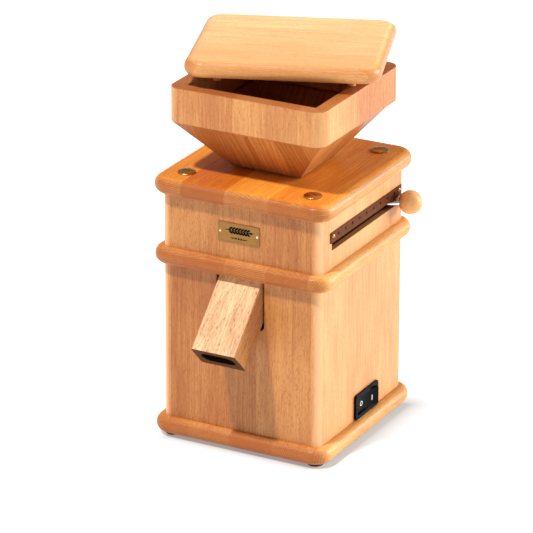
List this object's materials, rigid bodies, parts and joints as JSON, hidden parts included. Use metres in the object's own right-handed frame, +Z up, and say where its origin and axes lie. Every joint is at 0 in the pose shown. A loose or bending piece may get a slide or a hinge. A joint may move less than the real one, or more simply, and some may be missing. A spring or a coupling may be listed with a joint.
{
  "type": "grain mill",
  "caption": "Electric household grain mill: wooden casing in two storeys, lift-off wooden hopper with loose lid, sloping flour spout, side lever that sets the stone gap.",
  "frame": {"origin": "middle of the whole mill's bounding box, on the surface that the feet stand on; the vertical mill axis passes 9.7 mm to the right of it and 7.3 mm in front of it", "axes": "+Z up; -Y is the front with the spout and the nameplate; +X is the right side with the lever, the scale and the switch"},
  "size_m": [0.2526, 0.3171, 0.4037],
  "materials": {
    "beech": "oiled beech, satin",
    "beech_turned": "turned beech, satin",
    "brass": "brushed, slightly darkened",
    "chrome": "polished",
    "steel": "plain, machined",
    "zinc": "zinc plated",
    "bearing_steel": "ground",
    "cast_alloy": "die cast, matt",
    "laminations": "stacked sheet",
    "copper_wire": "enamelled copper wire",
    "black_plastic": "moulded, satin",
    "grey_plastic": "moulded",
    "white_plastic": "moulded",
    "rubber": "moulded, matt",
    "felt": "pressed felt",
    "grit_stone": "bonded corundum, rough"
  },
  "bodies": {
    "mill": {"base_plate": "beech", "mid_plate": "beech", "top_plate": "beech", "lower_left_panel": "beech", "lower_right_panel": "beech", "lower_front_panel": "beech", "lower_rear_panel": "beech", "upper_left_panel": "beech", "upper_right_panel": "beech", "upper_front_panel": "beech", "upper_rear_panel": "beech", "corner_posts": "beech", "case_screws": "brass", "threaded_inserts": "brass", "feet": "rubber", "foot_screws": "zinc", "spout": "beech", "nameplate": "brass", "nameplate_pins": "brass", "scale_strip": "brass", "scale_screws": "brass", "switch_housing": "black_plastic", "cable_gland": "black_plastic", "gland_locknut": "black_plastic", "grinding_chamber": "grey_plastic", "chamber_seal": "rubber", "retainer_spacers": "zinc", "ring_retainer": "black_plastic", "retainer_bolts": "zinc", "guide_pins": "zinc", "motor_can": "cast_alloy", "upper_end_shield": "cast_alloy", "lower_end_shield": "cast_alloy", "motor_bolts": "zinc", "motor_bearings": "bearing_steel", "stator_core": "laminations", "stator_windings": "copper_wire", "run_capacitor": "white_plastic", "capacitor_clip": "zinc", "terminal_block": "white_plastic"},
    "adjuster": {"adjusting_ring": "black_plastic", "lever_rod": "chrome", "lever_knob": "beech_turned"},
    "stone_holder": {"upper_stone_holder": "cast_alloy", "upper_stone": "grit_stone", "feed_seal": "felt"},
    "rotor": {"motor_shaft": "steel", "rotor_core": "laminations", "cooling_fan": "grey_plastic", "lower_stone_carrier": "cast_alloy", "lower_stone": "grit_stone", "carrier_nut": "zinc"},
    "rocker": {"switch_rocker": "black_plastic"},
    "hopper": {"hopper_rim_boards": "beech", "hopper_funnel_boards": "beech", "hopper_neck": "beech_turned", "hopper_gasket": "felt"},
    "lid": {"lid_panel": "beech", "lid_pegs": "beech_turned"}
  },
  "joints": [
    {"name": "lever_swing", "type": "hinge", "parent": "mill", "child": "adjuster", "pos_m": [0.0097, -0.0073, 0.2305], "axis": [0, 0, 1], "range_deg": [-73, 0]},
    {"name": "stone_travel", "type": "slide", "parent": "mill", "child": "stone_holder", "axis": [0, 0, 1], "range_m": [-0.00102, 0]},
    {"name": "rotor_spin", "type": "hinge", "parent": "mill", "child": "rotor", "pos_m": [0.0097, -0.0073, 0.15], "axis": [0, 0, 1], "continuous": true},
    {"name": "switch_rock", "type": "hinge", "parent": "mill", "child": "rocker", "pos_m": [0.0957, 0.0016, 0.035], "axis": [0, 0, 1], "range_deg": [0, 16]},
    {"name": "hopper_lift", "type": "slide", "parent": "mill", "child": "hopper", "axis": [0, 0, 1], "range_m": [0, 0.12]},
    {"name": "lid_lift", "type": "slide", "parent": "hopper", "child": "lid", "axis": [0, 0, 1], "range_m": [0, 0.15]}
  ],
  "couplings": [
    {"joint": "stone_travel", "follows": "lever_swing", "m_per_rad": 0.00079577}
  ]
}
